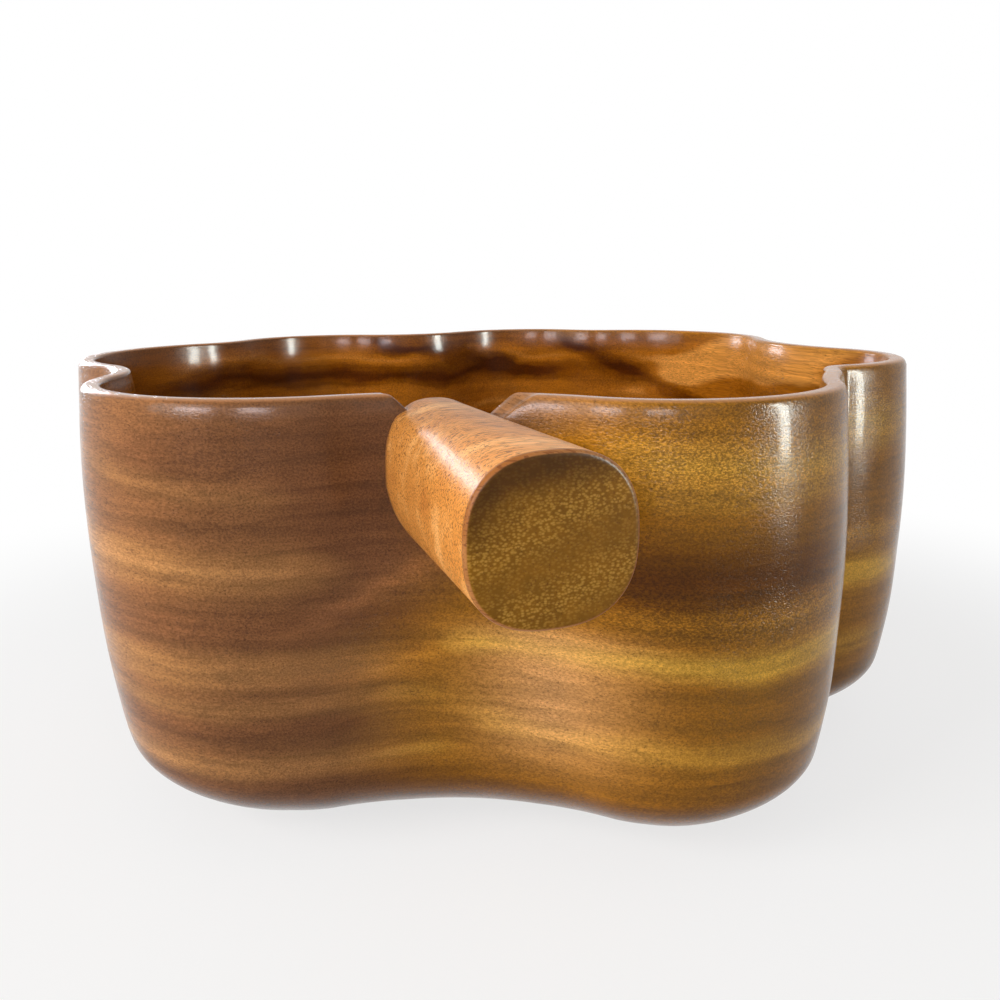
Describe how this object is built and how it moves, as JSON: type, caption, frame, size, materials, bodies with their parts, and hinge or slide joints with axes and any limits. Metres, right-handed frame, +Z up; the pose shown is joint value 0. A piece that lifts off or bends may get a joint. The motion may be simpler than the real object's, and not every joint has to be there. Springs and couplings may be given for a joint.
{
  "type": "serving bowl",
  "caption": "Deep lobed wooden serving bowl with flat base, eased rim and a thick stem-like grip let into a bevelled gap in the wall.",
  "frame": {"origin": "centre of the flat base, on the surface that the bowl stands on", "axes": "+Z up out of the bowl's mouth, -Y along the stem towards its cut end, +X to the right of someone who faces the stem"},
  "size_m": [0.2943, 0.3254, 0.136],
  "materials": {
    "bowl_wood": "open-grained golden brown hardwood with darker bands under satin clear lacquer",
    "stem_wood": "the same hardwood, lighter orange brown along the stem and olive brown on its cut end, satin clear lacquer"
  },
  "bodies": {
    "root": {"bowl_body": "bowl_wood", "stem_handle": "stem_wood"}
  },
  "joints": []
}
